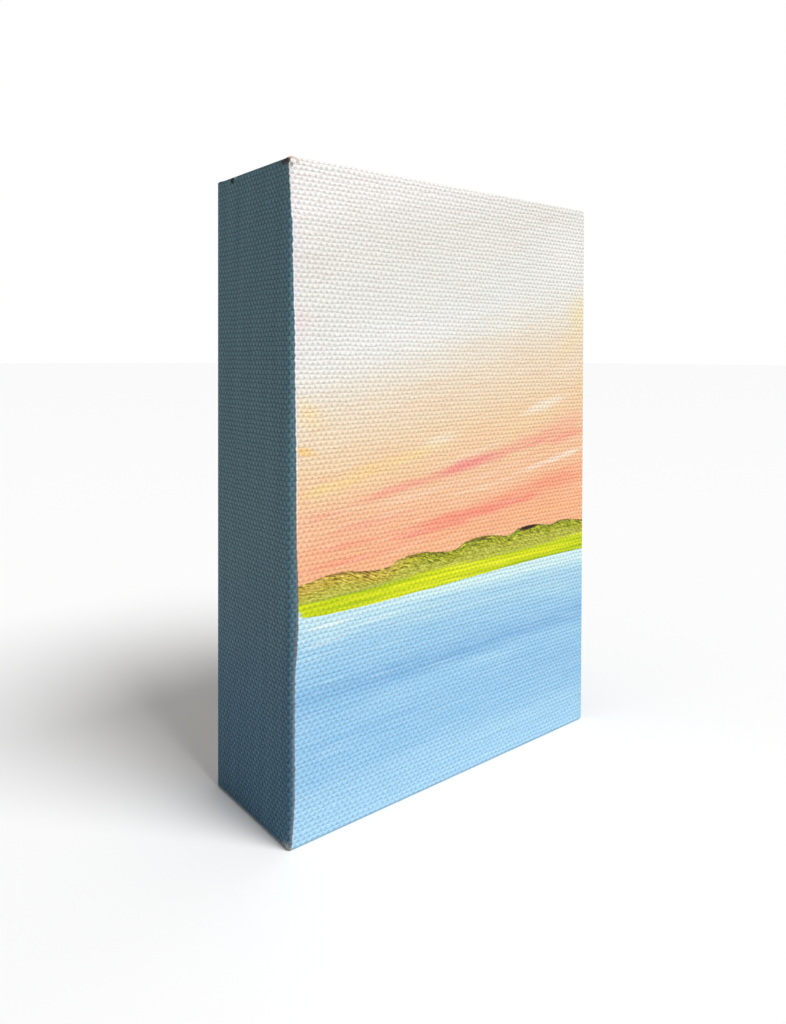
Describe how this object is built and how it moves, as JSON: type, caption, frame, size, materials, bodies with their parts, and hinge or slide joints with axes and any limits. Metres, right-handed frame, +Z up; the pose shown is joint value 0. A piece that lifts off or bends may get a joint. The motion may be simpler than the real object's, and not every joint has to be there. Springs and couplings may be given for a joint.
{
  "type": "stretched canvas",
  "caption": "Small painted canvas stretched over a deep mitred pine frame, stapled behind, with corner keys that push the bars out to tighten the cloth.",
  "frame": {"origin": "centre of the bottom of the whole part's bounding box, on the surface that it stands on", "axes": "+X to the right as the painted face is looked at, +Y from the painted face to the stapled back, +Z up, along the bars at the sides"},
  "size_m": [0.1016, 0.0354, 0.1524],
  "materials": {
    "painted_duck": "cotton duck with acrylic ground and paint, satin",
    "primed_duck_hem": "primed cotton duck, matt",
    "pine": "bare planed pine",
    "key_wood": "bare sawn hardwood",
    "staple_steel": "galvanised wire, satin"
  },
  "bodies": {
    "canvas": {"canvas": "painted_duck"},
    "top_bar": {"top_bar": "pine", "top_hem": "primed_duck_hem", "top_staples": "staple_steel"},
    "right_bar": {"right_bar": "pine", "right_hem": "primed_duck_hem", "right_staples": "staple_steel"},
    "bottom_bar": {"bottom_bar": "pine", "bottom_hem": "primed_duck_hem", "bottom_staples": "staple_steel"},
    "left_bar": {"left_bar": "pine", "left_hem": "primed_duck_hem", "left_staples": "staple_steel"},
    "top_key_right": {"top_key_right": "key_wood"},
    "top_key_left": {"top_key_left": "key_wood"},
    "right_key_bottom": {"right_key_bottom": "key_wood"},
    "right_key_top": {"right_key_top": "key_wood"},
    "bottom_key_left": {"bottom_key_left": "key_wood"},
    "bottom_key_right": {"bottom_key_right": "key_wood"},
    "left_key_top": {"left_key_top": "key_wood"},
    "left_key_bottom": {"left_key_bottom": "key_wood"}
  },
  "joints": [
    {"name": "top_bar_slide", "type": "slide", "parent": "canvas", "child": "top_bar", "axis": [0, 0, -1], "range_m": [0, 0.0006]},
    {"name": "right_bar_slide", "type": "slide", "parent": "canvas", "child": "right_bar", "axis": [-1, 0, 0], "range_m": [0, 0.0006]},
    {"name": "bottom_bar_slide", "type": "slide", "parent": "canvas", "child": "bottom_bar", "axis": [0, 0, 1], "range_m": [0, 0.0006]},
    {"name": "left_bar_slide", "type": "slide", "parent": "canvas", "child": "left_bar", "axis": [1, 0, 0], "range_m": [0, 0.0006]},
    {"name": "top_key_right_slide", "type": "slide", "parent": "top_bar", "child": "top_key_right", "axis": [-1, 0, 0], "range_m": [0, 0.0048]},
    {"name": "top_key_left_slide", "type": "slide", "parent": "top_bar", "child": "top_key_left", "axis": [1, 0, 0], "range_m": [0, 0.0048]},
    {"name": "right_key_bottom_slide", "type": "slide", "parent": "right_bar", "child": "right_key_bottom", "axis": [0, 0, 1], "range_m": [0, 0.0048]},
    {"name": "right_key_top_slide", "type": "slide", "parent": "right_bar", "child": "right_key_top", "axis": [0, 0, -1], "range_m": [0, 0.0048]},
    {"name": "bottom_key_left_slide", "type": "slide", "parent": "bottom_bar", "child": "bottom_key_left", "axis": [1, 0, 0], "range_m": [0, 0.0048]},
    {"name": "bottom_key_right_slide", "type": "slide", "parent": "bottom_bar", "child": "bottom_key_right", "axis": [-1, 0, 0], "range_m": [0, 0.0048]},
    {"name": "left_key_top_slide", "type": "slide", "parent": "left_bar", "child": "left_key_top", "axis": [0, 0, -1], "range_m": [0, 0.0048]},
    {"name": "left_key_bottom_slide", "type": "slide", "parent": "left_bar", "child": "left_key_bottom", "axis": [0, 0, 1], "range_m": [0, 0.0048]}
  ],
  "couplings": [
    {"joint": "top_key_right_slide", "follows": "top_bar_slide", "ratio": 8},
    {"joint": "top_key_left_slide", "follows": "top_bar_slide", "ratio": 8},
    {"joint": "right_key_bottom_slide", "follows": "right_bar_slide", "ratio": 8},
    {"joint": "right_key_top_slide", "follows": "right_bar_slide", "ratio": 8},
    {"joint": "bottom_key_left_slide", "follows": "bottom_bar_slide", "ratio": 8},
    {"joint": "bottom_key_right_slide", "follows": "bottom_bar_slide", "ratio": 8},
    {"joint": "left_key_top_slide", "follows": "left_bar_slide", "ratio": 8},
    {"joint": "left_key_bottom_slide", "follows": "left_bar_slide", "ratio": 8}
  ]
}
